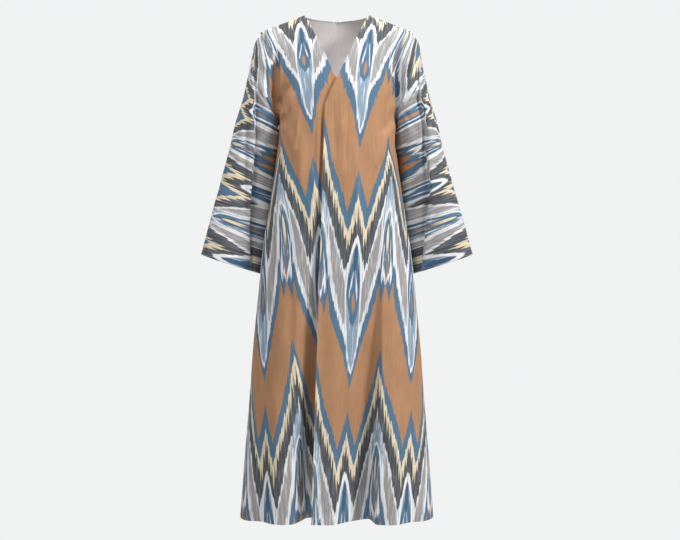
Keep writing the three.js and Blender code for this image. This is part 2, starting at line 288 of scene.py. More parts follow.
UNDER_FLOW = table(
    FLOW_COLUMNS,
    (0, 36.2, 79.0, 107, -20, -35, -24),
    (-35, 36.2, 78.0, 106, -20, -33, -25),
    (-62, 36.4, 75.0, 103, -20, -28, -26),
    (-88, 37.2, 72.3, 100, -20, -20, -27),
    (-132, 39.2, 73.5, 102, -18, -2, -19),
    (-180, 41.0, 77.3, 107, -15, 12.6, -11),
    (-243, 40.7, 82.0, 111, -14, 9.8, -12),
    (-308, 37.8, 79.0, 107, -14, 5, -19),
    (-340, 37.2, 79.5, 107, -12, 3.3, -13),
    (-388, 37.0, 79.0, 107, -10, -0.6, -9),
    (-430, 36.3, 77.8, 106, -7, -1.5, -7),
    (-575, 32.8, 70.0, 101, 5, -3.5, 5),
    (-725, 32.5, 69.0, 100, 2, 0, 2),
    (-861, 32.0, 64.3, 98, 14, 3, 14),
    (-930, 32.0, 62.3, 97.5, 14, 3.8, 14),
    (-985, 32.0, 61.2, 97.2, 12, 1.6, 12),
    (-1035, 32.0, 60.5, 96.9, 9, -3.4, 9),
    (-1200, 32.0, 60.7, 96.2, 14, -2.9, 14),
    (-1350, 32.0, 61.0, 96, 14, -3, 14),
)
PATTERN_START = {"over": 420, "under": 386, "back": 405}  # down the cloth to height 0 of the chart
WARP_UNIT = {"over": UNIT, "under": 2.717, "back": UNIT}  # the chart unit along the warp of each panel
# Cloth out of sight in the fold beside the under front's armhole: how much, from where, and over what run.
HIDDEN_IN_FOLD, HIDDEN_X, HIDDEN_RUN = 6.0, 150, 8
ARMPIT_PULL = 3.3  # how steeply the pattern is dragged between the B line and the armhole
# The long fold down the front of each sleeve, by turn round the arm, and the height in the repeat along the
# outside of the arm and just past the fold.
SLEEVE_COLUMNS = "z turn outer inner"
LEFT_SLEEVE_RUN = table(
    SLEEVE_COLUMNS,
    (-150, 52, 30, 100),
    (-180, 56, 28, 110),
    (-240, 60, 34, 126),
    (-268, 62, 34, 131),
    (-303, 66, 40, 116),
    (-335, 71, 46, 98),
    (-352, 76, 52, 100),
    (-372, 80, 50, 112),
    (-395, 81, 50, 121),
    (-470, 86, 44, 122),
    (-492, 90, 42, 92),
    (-525, 99, 42, 90),
    (-583, 114, 52, 86),
    (-640, 124, 50, 66),
    (-700, 134, 46, 52),
)
RIGHT_SLEEVE_RUN = table(
    SLEEVE_COLUMNS,
    (-150, 56, 28, 100),
    (-180, 60, 26, 108),
    (-235, 68, 20, 122),
    (-262, 75, 18, 131),
    (-300, 86, 22, 112),
    (-335, 94, 40, 102),
    (-355, 96, 48, 103),
    (-375, 98, 46, 118),
    (-395, 100, 40, 121),
    (-435, 103, 28, 121),
    (-465, 105, 25, 108),
    (-490, 106, 22, 98),
    (-525, 110, 32, 96),
    (-583, 117, 46, 88),
    (-640, 124, 46, 66),
    (-700, 132, 42, 52),
)
SLEEVE_FIRST_LINE, SLEEVE_COLUMN = 272, 97  # length of arm at the first A line, and from line to line
SLEEVE_UNIT, INNER_RATE = 2.7, 0.45  # cloth to the unit round the arm, and how fast it runs past the fold
INNER_STARTS = 5  # millimetres of cloth over which the one run gives way to the other

# ---- smaller forms of the worn cloth ----

# A span is two heights, each with a run: a form fades in below the first, and out as it nears the second.
ARMPIT_SPAN = (-95, 60, -400, 90)
HIDDEN_SPAN = (-95, 60, -300, 40)
PULL_SPAN = (-30, 70, -340, 70)
ARM_FOLD_SPAN = (-120, 120, -720, 120)
ARM_BULGE_SPAN = (-300, 20, -420, 60)
# A bump is its rise, its middle and its width. A ledge is its drop, where it falls and over what run, and the
# same for its way back out. Both go by distance past a line; ARM_LIP, ARM_GROOVE, ARM_LEDGE and ARM_BULGE go by
# degrees of turn.
ARMPIT_LIP, ARMPIT_LEDGE = (2.5, -3, 4), (15.0, 0, 4, 9, 20)  # the fold from the chest to the underarm
ARMPIT_CLEAR = 28  # it fades out this near the seam, so that it can't cross the sleeve
ARM_LIP, ARM_GROOVE, ARM_LEDGE = (3.0, -5, 7), (-7.0, 7, 5), (10.0, -1, 6, 8, 52)  # the long fold of a sleeve
ARM_BULGE = (3.2, 180, 16)  # the inner side of the arm leans on the body
SEAM_DIP, SEAM_RIDGE = (-1.1, 0, 2.4), (0.25, 6, 4.0)
HEM_TURN, HEM_DOUBLE, HEM_STEP = 9.0, 0.45, 2.5  # a turned hem is double this far in
STITCH_GROOVE, HEM_ROLL = (-0.45, 7, 1.3), (-0.9, 0, 1.4)
PUCKER, PUCKER_WAVE, PUCKER_DRIFT = (0.28, 8, 6.5), 1.55, 11
LOW_ARMHOLE = (-130, 60)  # the armhole seam lies deeper below this height, over this run
FRONT_GROOVE, ARM_SEAM_GROOVE = (-4.0, 0, 7), (-4.5, 0, 6)
# The under front lies lower beside the lap, more so towards the hem, and the over front's edge stands up.
TROUGH, TROUGH_WIDE, TROUGH_AT, TROUGH_GROWTH, TROUGH_START = (9.0, 14.0), (3.5, 15.0), 2, 650, 80
EDGE_LIFT, EDGE_LIFT_REACH, EDGE_LIFT_START = 4.5, 8, 120
# Slack: wavelengths, most lean in radians, how far and how fast a wave drifts, and its height.
SLACK_WAVES = (190, 118, 74, 47, 29)
SLACK_LEAN, SLACK_DRIFT, SLACK_DRIFT_RATE, SLACK_HEIGHT = 0.35, 1.3, 1.1, 0.62
SLEEVE_SLACK, TURN_LENGTH = 0.8, 1.3  # a sleeve's share of it, and millimetres to a degree in its waves
CREASE_FADE = 0.3  # share of a crease's length over which it fades at either end
# Creases and slack are held flat near the seams and a front's edge, over these distances.
SLACK_FROM_TOP, SLACK_FROM_SIDE, HELD_AT_TOP, HELD_AT_SIDE = 60, 30, 25, 22
EDGE_HOLD, EDGE_HOLD_RUN, HELD_AT_ARMHOLE, SEAM_STARTS = 0.35, 40, 30, 10

# ---- grids ----

FRONT_COLUMNS, BACK_COLUMNS, SLEEVE_AROUND = 104, 170, 176
FRONT_YOKE_ROWS, CORNER_ROWS, BACK_YOKE_ROWS, SKIRT_ROWS, SLEEVE_ROWS = 66, 9, 74, 215, 150
ARMHOLE_STEPS, CORNER_STEP = 12, 11  # steps of turn along the armhole, and the step that ends the neckline
YOKE_EASE, SHOULDER_EASE = 1.6, 1.5
HEM_PART = 0.93  # past this share of the skirt the rows lie closer at first, and wider at the hem
RIDGE_TOP, HALVINGS = 20.0, 40
LATTICE, LATTICE_X, LATTICE_Z = 2.0, (-150.0, 276.0), (6.0, -300.0)
LONGEST_STEP = 9.0  # the most that one lattice step may count up the cloth
MEET_Z, NECK_EASE = -120, 250  # the measures of yoke and skirt are led together below here
FRONT_MIDDLE, FRONT_NARROW, BACK_NARROW = -2.0, 0.925, 0.94  # the run of the pattern at the shoulder
PANEL_GAP, ARMHOLE_GAP = 0.1, 0.3
TINY = 1e-9  # keeps a division or a comparison clear of nothing
# Each front: which way it lies, its folds and creases, the seed of its slack, and where its armpit fold runs.
FRONTS = {
    "over": (1, OVER_FOLDS, OVER_CREASES, 7, 153),
    "under": (-1, UNDER_FOLDS, UNDER_CREASES, 11, 150),
}
BACK_SEED = 23

# ---- shape ----


def mix(a, b, t):
    return a + (b - a) * t


def smooth(t):
    """0 below 0, 1 above 1, and an even S between."""
    t = np.clip(t, 0, 1)
    return t * t * (3 - 2 * t)


def bump(at, rise, middle, wide):
    """A rise that falls away evenly to both sides of its middle, as a bell does."""
    return rise * np.exp(-(((at - middle) / wide) ** 2))


def ledge(at, drop, edge, run, back_edge, back_run):
    """A quick drop and a slower way back out."""
    return drop * smooth((at - edge) / run) * (1 - smooth((at - back_edge) / back_run))


def within(z, start, start_run, end, end_run):
    """1 inside a span of height, fading at both of its ends."""
    return smooth((start - z) / start_run) * smooth((z - end) / end_run)


def through(rows, key, column):
    """A smooth curve through a table's column: cubic pieces whose slopes come from the neighbouring rows."""
    at, value = rows[key], rows[column]
    if at[0] > at[-1]:
        at, value = at[::-1], value[::-1]
    gap = np.diff(at)
    step = np.diff(value) / gap
    inner = mix(step[:-1], step[1:], gap[:-1] / (gap[:-1] + gap[1:]))
    slope = np.concatenate(([step[0]], inner, [step[-1]]))

    def curve(t):
        x = np.clip(t, at[0], at[-1])
        i = np.clip(np.searchsorted(at, x, "right") - 1, 0, len(at) - 2)
        s = (x - at[i]) / gap[i]
        bend = s * (1 - s) * ((1 - s) * (slope[i] - step[i]) - s * (slope[i + 1] - step[i]))
        return mix(value[i], value[i + 1], s) + gap[i] * bend

    return curve


flow = {
    side: {name: through(rows, "z", name) for name in FLOW_COLUMNS.split()[1:]}
    for side, rows in (("over", OVER_FLOW), ("under", UNDER_FLOW))
}
body_half = through(BODY, "z", "half")
body_depth = {"front": through(BODY, "z", "front"), "back": through(BODY, "z", "back")}
arm_mid, arm_half, arm_deep, arm_tuck = (through(SLEEVE, "z", key) for key in ("mid", "half", "deep", "tuck"))
armhole_z = through(ARMHOLE, "turn", "z")


def ball_share(z):
    """Above the ball's middle the arm closes as a ball does."""
    return np.where(z < BALL_Z, 1.0, np.sqrt(np.clip(1 - ((z - BALL_Z) / BALL) ** 2, 0, 1)))


def torso_depth(x, z, side):
    """The section at a height, times the quarter round that swells below the shoulder seam."""
    rise = FRONT_RISE if side == "front" else BACK_RISE
    below = (NECK_HALF - np.abs(x)) * SHOULDER_SLOPE - z
    swell = np.sqrt(np.clip(1 - (1 - np.clip(below / rise, 0, 1)) ** 2, 0, 1))
    section = np.clip(1 - (np.abs(x) / body_half(z)) ** SECTION_POWER, 0, 1) ** (1 / SECTION_POWER)
    return body_depth[side](z) * swell * section


def arm_depth(x, z):
    """An ellipse across the arm at a height."""
    across = (np.abs(x) - arm_mid(z)) / np.maximum(arm_half(z) * ball_share(z), 1e-6)
    return arm_deep(z) * ball_share(z) * np.sqrt(np.clip(1 - across**2, 0, 1))


def yoke_depth(x, z, side):
    """Torso and arm, the deeper of the two, with the valley between them filled softly."""
    torso, arm = torso_depth(x, z, side), arm_depth(x, z)
    soft = np.clip((z - UNDERARM_Z) * VALLEY_GROWTH, 0.001, VALLEY_MAX)
    near = np.clip(1 - np.abs(torso - arm) / soft, 0, 1)
    return np.maximum(torso, arm) + near * near * soft / 4


def ridge_z(x):
    """The highest point of the cloth above a place on the shoulder, found by halving."""
    low, high = np.full_like(x, UNDERARM_Z), np.full_like(x, RIDGE_TOP)
    for _ in range(HALVINGS):
        z = (low + high) / 2
        inside = np.maximum(torso_depth(x, z, "front"), arm_depth(x, z)) > 0
        low, high = np.where(inside, z, low), np.where(inside, high, z)
    return low


def fold_depth(folds, x, z):
    """How far in the hanging folds take the cloth: an S to both sides of each middle, deeper at the hem."""
    total = np.zeros_like(x)
    for x0, before, after, depth, start, lean, step in zip(*folds.values()):
        grown = np.clip((start - z) / (start + LENGTH), 0, 1) ** FOLD_GROWTH
        off = x - (x0 + lean * (1 - grown))
        past = 1.0 if step else 1 - off / after
        total += depth * grown * smooth(np.where(off < 0, 1 + off / before, past))
    return total


def crease_rise(creases, x, z):
    """Soft ridges and troughs: bumps across a line between two points, bowed sideways, fading at its ends."""
    total = np.zeros_like(x)
    for x0, z0, x1, z1, bow, wide, rise in zip(*creases.values()):
        dx, dz = x1 - x0, z1 - z0
        length = math.hypot(dx, dz)
        t = ((x - x0) * dx + (z - z0) * dz) / length**2
        off = ((x - x0) * dz - (z - z0) * dx) / length - bow * 4 * t * (1 - t)
        total += smooth(t / CREASE_FADE) * smooth((1 - t) / CREASE_FADE) * bump(off, rise, 0, wide)
    return total


def slack(x, z, seed, height=1.0):
    """The cloth's own unevenness: a few long slanted waves, more across than along, with seeded phases."""
    random = np.random.default_rng(seed)
    total = np.zeros_like(x)
    for wave in SLACK_WAVES:
        for _ in range(3):
            turn = random.uniform(-SLACK_LEAN, SLACK_LEAN)
            phase = random.uniform(0, 2 * math.pi, 2)
            along = x * math.cos(turn) + z * math.sin(turn)
            drift = SLACK_DRIFT * np.sin(z / wave * SLACK_DRIFT_RATE + phase[1])
            total += wave / SLACK_WAVES[0] * np.sin(2 * math.pi * along / wave + phase[0] + drift)
    return total * SLACK_HEIGHT * height


def armhole_point(turn):
    """A point of the armhole seam in the front view."""
    z = armhole_z(turn)
    return np.stack([arm_mid(z) + np.cos(np.radians(turn)) * arm_half(z) * ball_share(z), z], -1)


SEAM_TOP = armhole_point(np.array(0.0))


def shoulder_point(share):
    """The shoulder seam from the neck point to the armhole."""
    x = mix(NECK_HALF, SEAM_TOP[0], 1 - (1 - share) ** SHOULDER_EASE)
    return np.stack([x, np.where(share >= 1, SEAM_TOP[1], ridge_z(x))], -1)


def edge_x(z):
    """A front's neckline above the corner, and its front edge below."""
    fall = (CORNER_Z - z) / (CORNER_Z + LENGTH)
    return np.where(z > CORNER_Z, mix(NECK_HALF, -CORNER_X, z / CORNER_Z), -mix(CORNER_X, EDGE_HEM_X, fall))


def section_x(angle):
    return np.sign(angle) * np.abs(np.sin(angle)) ** (2 / SECTION_POWER)


def section_angle(share):
    return np.sign(share) * np.arcsin(np.abs(share) ** (SECTION_POWER / 2))


def dense_ends(count, first=0.0, last=1.0, pull=0.55):
    """Shares from first to last that lie closer together at both ends, for crisp seams and hems."""
    t = np.linspace(0, 1, count)
    return mix(first, last, mix(t, smooth(t), pull))


def coons(q, c, top, bottom, left, right):
    """A grid between four edges: rows mixed plus columns mixed, less the four corners mixed both ways."""
    q, c = q[:, None, None], c[None, :, None]
    corners = mix(mix(top[0], top[-1], c), mix(bottom[0], bottom[-1], c), q)
    return mix(top[None], bottom[None], q) + mix(left[:, None], right[:, None], c) - corners


def armhole_side(k):
    """The armhole seam at steps of its turn, from the shoulder to the underarm."""
    return armhole_point(180 / ARMHOLE_STEPS * k)


def skirt_levels():
    """Heights of the rows from the underarm to the hem."""
    t = np.linspace(0, 1, SKIRT_ROWS)
    rest = 1 - HEM_PART
    t = np.where(t > HEM_PART, HEM_PART + rest * smooth((t - HEM_PART) / rest * 0.5) * 2, t)
    return mix(UNDERARM_Z, -LENGTH, t)


def skirt_grid(levels, angle):
    """The skirt in the front view: the section's half width at each level, shared out by its angle."""
    x = body_half(levels)[:, None] * section_x(angle)
    return np.stack([x, np.broadcast_to(levels[:, None], x.shape)], -1)


def panel_depth(x, z, side, folds, sewn, recess=0.0):
    """Depth of a body panel: yoke or section, less a recess and the hanging folds, and none along seams."""
    depth = np.where(z <= UNDERARM_Z + 0.01, torso_depth(x, z, side), yoke_depth(x, z, side))
    return np.where(sewn, 0.0, np.maximum(0, depth - recess - fold_depth(folds, x, z)))


def arc_field(x, z, side):
    """Distances along the cloth at places of the front view, looked up on a lattice: across from the centre,
    and up from the lattice's foot, each the running sum of the slanted steps between lattice points."""
    across_at = np.arange(*LATTICE_X, LATTICE)
    up_at = np.arange(*LATTICE_Z, -LATTICE)
    depth = yoke_depth(*np.meshgrid(across_at, up_at), side)
    step_x = np.hypot(LATTICE, np.diff(depth, axis=1))
    across = np.concatenate([np.zeros((len(up_at), 1)), np.cumsum(step_x, 1)], 1)
    across -= across[:, [round(-LATTICE_X[0] / LATTICE)]]
    step_z = np.minimum(np.hypot(LATTICE, np.diff(depth, axis=0)), LONGEST_STEP)
    up = np.concatenate([np.cumsum(step_z[::-1], 0)[::-1], np.zeros((1, len(across_at)))], 0)

    i = np.clip((LATTICE_Z[0] - z) / LATTICE, 0, len(up_at) - 1.001)
    j = np.clip((x - LATTICE_X[0]) / LATTICE, 0, len(across_at) - 1.001)
    a, b = i.astype(int), j.astype(int)
    s, t = i - a, j - b
    return [mix(mix(f[a, b], f[a, b + 1], t), mix(f[a + 1, b], f[a + 1, b + 1], t), s) for f in (across, up)]


def cloth_places(x, z, side, run, middle, narrow, seam_row):
    """Where each point lies in the cloth: across and down. Below the underarm these are the row's own length
    and the height. Above it they come from the arc field, drawn in at the shoulder, led to meet the row."""
    across, up = arc_field(x, z, side)
    yoke = (across - middle) * mix(narrow, 1.0, smooth(-z / NECK_EASE))
    yoke = yoke + (run - yoke)[seam_row] * smooth((MEET_Z - z) / (MEET_Z - UNDERARM_Z))
    in_skirt = z <= UNDERARM_Z + 0.01
    return np.where(in_skirt, run, yoke), np.where(in_skirt, -z, -UNDERARM_Z - up)


def pattern_flow(u, v, z, side):
    """The pattern's run on a front: its width stretched between the lines, and its height shifted by a wave
    that is one amount at the A lines and another at the B lines, with a drag towards the armhole."""
    at = {name: curve(z) for name, curve in flow[side].items()}
    u = u / UNIT
    beyond = np.maximum(0, u - at["second"])
    between = np.clip((u - at["first"]) / (at["second"] - at["first"]), 0, 1)
    lines = np.minimum(u / at["first"], 1) + between + beyond / (at["third"] - at["second"])
    on_a = (1 - np.cos(np.pi * lines)) / 2
    shift = mix(np.where(lines < 1, at["at_edge"], at["at_b"]), at["at_a"], on_a)
    shift -= ARMPIT_PULL * beyond * within(z, *PULL_SPAN)
    return lines * COLUMN * UNIT, v + shift * UNIT


def lap_trough(x, z):
    """How much lower the under front lies just outside the over front's edge."""
    lower = smooth((CORNER_Z - z) / TROUGH_GROWTH)
    trough = bump(x + edge_x(z), mix(*TROUGH, lower), TROUGH_AT, mix(*TROUGH_WIDE, lower))
    return trough * smooth((CORNER_Z - z) / TROUGH_START)


def seam_dip(near):
    """Rise of the cloth by its distance from a sewn seam: a dip, and a faint ridge beside it."""
    return bump(near, *SEAM_DIP) + bump(near, *SEAM_RIDGE)


def turned_edge(near):
    """Rise of the cloth by its distance from a turned edge: double to the stitches, rolled off at the end."""
    double = HEM_DOUBLE * smooth((HEM_TURN - near) / HEM_STEP + 0.5)
    return double + bump(near, *STITCH_GROOVE) + bump(near, *HEM_ROLL)


def stitched_hem(along, near):
    """A turned edge, with the small waves of its stitches along it."""
    waves = np.sin(along / PUCKER_WAVE + 0.9 * np.sin(along / PUCKER_DRIFT))
    return turned_edge(near) + waves * bump(near, *PUCKER)


def low_armhole(z):
    """How much of the deeper armhole seam a height has."""
    return smooth((LOW_ARMHOLE[0] - z) / LOW_ARMHOLE[1])


def loose_rise(creases, x, z, seed, down, to_side):
    """Creases and slack of a body panel, flatter towards its shoulder and side seams."""
    rise = crease_rise(creases, x, z)
    rise += slack(x, z, seed) * smooth(down / SLACK_FROM_TOP) * smooth(to_side / SLACK_FROM_SIDE)
    return rise * smooth(down / HELD_AT_TOP + 0.1) * smooth(to_side / HELD_AT_SIDE + 0.05)


def running(points, axis):
    """Distance along the grid's rows (axis 1) or columns (axis 0) from the first point."""
    step = np.linalg.norm(np.diff(points, axis=axis), axis=-1)
    start = np.zeros_like(np.take(step, [0], axis=axis))
    return np.concatenate([start, np.cumsum(step, axis=axis)], axis=axis)


def unit_length(n):
    return n / np.maximum(np.linalg.norm(n, axis=-1, keepdims=True), TINY)


def normals(points, flip, ring=False):
    """The outward normal at each grid point: down the column crossed with along the row."""
    if ring:
        across = np.roll(points, -1, 1) - np.roll(points, 1, 1)
    else:
        across = np.gradient(points, axis=1)
    n = unit_length(np.cross(np.gradient(points, axis=0), across))
    return -n if flip else n


def panel_normals(points, flip, sewn):
    """Normals that stay in the plane of the front view along the seams, where front and back meet."""
    n = normals(points, flip)
    n[sewn, 1] = 0
    return unit_length(n)


# ---- meshes ----


def cloth_object(name, node, points, pattern, flip, ring=False):
    """One piece from a grid of points in millimetres: quads, a UV map in metres of cloth, and a wall."""
    rows, columns = points.shape[:2]
    wide = columns + 1 if ring else columns
    vertex = np.arange(rows)[:, None] * columns + np.arange(wide)[None, :] % columns
    corner = np.arange(rows * wide).reshape(rows, wide)

    def quads(grid):
        a, b, c, d = grid[:-1, :-1], grid[1:, :-1], grid[1:, 1:], grid[:-1, 1:]
        return np.stack([a, d, c, b] if flip else [a, b, c, d], -1).reshape(-1, 4)

    mesh = bpy.data.meshes.new(name)
    mesh.from_pydata(points.reshape(-1, 3) / 1000, [], quads(vertex))
    uv = np.stack(pattern, -1).reshape(-1, 2) / 1000
    layer = mesh.uv_layers.new(name="Cloth")
    layer.data.foreach_set("uv", uv[quads(corner).ravel()].ravel().astype(np.float32))
    mesh.polygons.foreach_set("use_smooth", np.ones(len(mesh.polygons), bool))
    edge_of_corner = np.empty(len(mesh.loops), np.int32)
    mesh.loops.foreach_get("edge_index", edge_of_corner)
    mesh.edges.foreach_set("use_edge_sharp", np.bincount(edge_of_corner, minlength=len(mesh.edges)) == 1)
    mesh.update()
    piece = bpy.data.objects.new(name, mesh)
    bpy.context.scene.collection.objects.link(piece)
    mesh.materials.append(printed_cloth())
    mesh.materials.append(plain_reverse())
    wall = piece.modifiers.new("cloth thickness", "SOLIDIFY")
    wall.thickness = bpy.context.scene.duster_coat.cloth_thickness
    wall.offset = -1
    wall.use_even_offset = False
    wall.material_offset = 1
    wall.material_offset_rim = 0
    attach(piece, "root")
    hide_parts(node)
    return piece


def front_panel(name, node, side):
    """A front: the patch between shoulder seam, armhole and neckline, then rows from edge to side seam."""
    sign, folds, creases, seed, fold_x = FRONTS[side]
    under = side == "under"
    c = dense_ends(FRONT_COLUMNS, pull=0.5)
    k = [dense_ends(FRONT_YOKE_ROWS, 0, CORNER_STEP), np.linspace(CORNER_STEP, ARMHOLE_STEPS, CORNER_ROWS)]
    k = np.unique(np.concatenate(k))
    neckline_z = CORNER_Z * (np.minimum(k, CORNER_STEP) / CORNER_STEP) ** YOKE_EASE
    left_z = np.where(k <= CORNER_STEP, neckline_z, mix(CORNER_Z, UNDERARM_Z, k - CORNER_STEP))
    left = np.stack([edge_x(left_z), left_z], -1)
    levels = skirt_levels()
    at_edge = section_angle(edge_x(levels) / body_half(levels))
    skirt = skirt_grid(levels, mix(at_edge[:, None], math.pi / 2, c[None]))
    yoke = coons((k / ARMHOLE_STEPS) ** YOKE_EASE, c, shoulder_point(c), skirt[0], left, armhole_side(k))
    grid = np.concatenate([yoke[:-1], skirt])
    seam_row = len(k) - 1
    sewn = np.zeros(grid.shape[:2], bool)
    sewn[0] = True
    sewn[seam_row:, -1] = True
    x, z = grid[..., 0], grid[..., 1]
    recess = UNDER_RECESS * smooth((RECESS_START - x) / RECESS_RUN) * smooth(-z / RECESS_RUN) if under else 0
    depth = panel_depth(sign * x, z, "front", folds, sewn, recess)
    points = np.stack([sign * x, -depth - PANEL_GAP, z], -1)

    # distances in the cloth: from the front edge, and down from the top
    unfolded = np.where(sewn, 0.0, mix(torso_depth(x, z, "front"), depth + PANEL_GAP, FOLD_SHARE))
    run = running(np.stack([x, unfolded, z], -1), 1)
    middle = mix(FRONT_MIDDLE, -CORNER_X, smooth(-z / NECK_EASE))
    u, v = cloth_places(x, z, "front", run, middle, FRONT_NARROW, seam_row)
    if under:
        u = u + HIDDEN_IN_FOLD * smooth((x - HIDDEN_X) / HIDDEN_RUN) * within(z, *HIDDEN_SPAN)
    v = (v - PATTERN_START[side]) * UNIT / WARP_UNIT[side]

    row, down = running(points, 1), running(points, 0)
    to_side = row[:, -1:] - row
    rise = loose_rise(creases, sign * x, z, seed, down, to_side)
    rise *= mix(EDGE_HOLD, 1, smooth(row / EDGE_HOLD_RUN))
    armpit = bump(x - fold_x, *ARMPIT_LIP) - ledge(x - fold_x, *ARMPIT_LEDGE)
    rise += armpit * within(z, *ARMPIT_SPAN) * smooth(to_side / ARMPIT_CLEAR)
    rise += seam_dip(to_side) + seam_dip(down) + turned_edge(row) + stitched_hem(row, down[-1:] - down)
    rise += bump(to_side, *FRONT_GROOVE) * low_armhole(z) * (z > UNDERARM_Z)
    if under:
        rise -= lap_trough(x, z)
    else:
        rise += EDGE_LIFT * np.exp(-row / EDGE_LIFT_REACH) * smooth(-z / EDGE_LIFT_START)
    points = points + panel_normals(points, under, sewn) * rise[..., None]
    return cloth_object(name, node, points, pattern_flow(u, v, z, side), under)


def back_panel(name, node):
    """The back: one panel, with the neckline between the two shoulder seams along its top."""
    neck_ends = [0.5 - NECK_SHARE / 2, 0.5 + NECK_SHARE / 2]
    c = np.unique(np.concatenate([dense_ends(BACK_COLUMNS, pull=0.4), neck_ends]))
    k = dense_ends(BACK_YOKE_ROWS, 0, ARMHOLE_STEPS, pull=0.4)
    share = np.abs(2 * c - 1)
    on_neck = share < NECK_SHARE - TINY
    seam = shoulder_point(np.clip((share - NECK_SHARE) / (1 - NECK_SHARE), 0, 1))
    seam[:, 0] *= np.where(c < 0.5, -1, 1)
    neck_x = NECK_HALF * (2 * c - 1) / NECK_SHARE
    neck = np.stack([neck_x, -BACK_NECK_DROP * (1 - (neck_x / NECK_HALF) ** 2)], -1)
    top = np.where(on_neck[:, None], neck, seam)
    right = armhole_side(k)
    skirt = skirt_grid(skirt_levels(), mix(-math.pi / 2, math.pi / 2, c)[None])
    yoke = coons((k / ARMHOLE_STEPS) ** YOKE_EASE, c, top, skirt[0], right * [-1, 1], right)
    grid = np.concatenate([yoke[:-1], skirt])
    seam_row = len(k) - 1
    sewn = np.zeros(grid.shape[:2], bool)
    sewn[0] = ~on_neck
    sewn[seam_row:, [0, -1]] = True
    x, z = grid[..., 0], grid[..., 1]
    depth = panel_depth(x, z, "back", BACK_FOLDS, sewn)
    points = np.stack([x, depth + PANEL_GAP, z], -1)

    row, down = running(points, 1), running(points, 0)
    from_centre = np.abs(row - row[:, [len(c) // 2]])
    u, v = cloth_places(np.abs(x), z, "back", from_centre, 0, BACK_NARROW, seam_row)

    to_side = np.minimum(row, row[:, -1:] - row)
    rise = loose_rise(BACK_CREASES, x, z, BACK_SEED, down, to_side)
    rise += seam_dip(to_side) + np.where(share < NECK_SHARE, turned_edge(down), seam_dip(down))
    rise += stitched_hem(row, down[-1:] - down)
    points = points + panel_normals(points, True, sewn) * rise[..., None]
    return cloth_object(name, node, points, (u + COLUMN * UNIT, v - PATTERN_START["back"]), True)


def sleeve(name, node, sign, creases, fold_rows, seed):
    """A sleeve: ellipses from armhole seam to cuff, tucked back at the inner side, closed at the underarm."""
    closed_turn = np.linspace(-180, 180, SLEEVE_AROUND + 1)[None]
    turn = closed_turn[:, :-1]
    angle = np.radians(turn)
    start = armhole_z(np.abs(turn)) - ARMHOLE_GAP
    z = mix(start, CUFF_Z + CUFF_TILT * np.cos(angle), dense_ends(SLEEVE_ROWS, pull=0.45)[:, None])
    x = arm_mid(z) + np.cos(angle) * arm_half(z) * ball_share(z)
    tuck = np.maximum(arm_tuck(z), 0)
    y = tuck * (1 - np.cos(angle)) / 2 - np.sin(angle) * arm_deep(z) * ball_share(z)
    points = np.stack([sign * x, y, z], -1)
    turn = np.broadcast_to(turn, z.shape)
    fold_turn, at_outer, at_inner = (through(fold_rows, "z", key) for key in ("turn", "outer", "inner"))

    # distances in the cloth: from the armhole, and round the arm from the underarm seam
    down = running(points, 0)
    row = running(np.concatenate([points, points[:, :1]], 1), 1)
    to_seam = np.minimum(row, row[:, -1:] - row)[:, :-1]
    rise = crease_rise(creases, turn, z) + slack(turn * TURN_LENGTH, z, seed, SLEEVE_SLACK)
    past = turn - fold_turn(z)
    fold = bump(past, *ARM_LIP) + bump(past, *ARM_GROOVE) - ledge(past, *ARM_LEDGE)
    rise += fold * within(z, *ARM_FOLD_SPAN)
    rise *= smooth(down / HELD_AT_ARMHOLE + 0.05)
    rise += seam_dip(down) + seam_dip(to_seam) * smooth(down / SEAM_STARTS)
    rise += stitched_hem(row[:, :-1], down[-1:] - down)
    rise += bump(down, *ARM_SEAM_GROOVE) * low_armhole(start)
    rise += bump(np.abs(turn), *ARM_BULGE) * within(z, *ARM_BULGE_SPAN)
    out = normals(points, sign > 0, ring=True)

    # the pattern: across by the length of arm, and along by the way round, slower past the fold
    closed_z = np.concatenate([z, z[:, :1]], 1)
    length = CUFF_TILT * np.cos(np.radians(closed_turn)) - closed_z
    u = ((length - SLEEVE_FIRST_LINE) / SLEEVE_COLUMN + 1) * COLUMN * UNIT
    arc = row - row[:, [SLEEVE_AROUND // 2]]
    at_fold = [np.interp(fold_turn(level), closed_turn[0], run) for level, run in zip(closed_z, arc)]
    past = arc - np.stack(at_fold)
    outside = at_outer(closed_z) + arc / SLEEVE_UNIT
    inside = at_inner(closed_z) + INNER_RATE * past / SLEEVE_UNIT
    v = mix(outside, inside, smooth(past / INNER_STARTS + 0.3)) * UNIT
    return cloth_object(name, node, points + out * rise[..., None], (u, v), sign > 0, ring=True)


# ---- materials ----

# Noise in the cloth, by chart unit: rate across the warp and along it, which lot of it, detail and roughness.
GRAIN = {
    "thread": (0.62, 0.012, 0.0, 3.0, 0.68),  # groups of threads that were dyed as one
    "strand": (2.3, 0.03, 7.0, 1.0, 0.5),  # single threads
    "wander": (0.05, 0.02, 3.0, 1.0, 0.5),  # slow drift of the lines
    "streak": (0.8, 0.03, 11.0, 3.0, 0.66),  # darker threads
    "pale": (0.9, 0.028, 19.0, 3.0, 0.66),  # threads of other dyes
    "cloud": (0.06, 0.04, 5.0, 2.0, 0.5),  # broad uneven dye
    "reverse": (1.2, 0.12, 2.0, 3.0, 0.6),  # threads of the plain inside
}
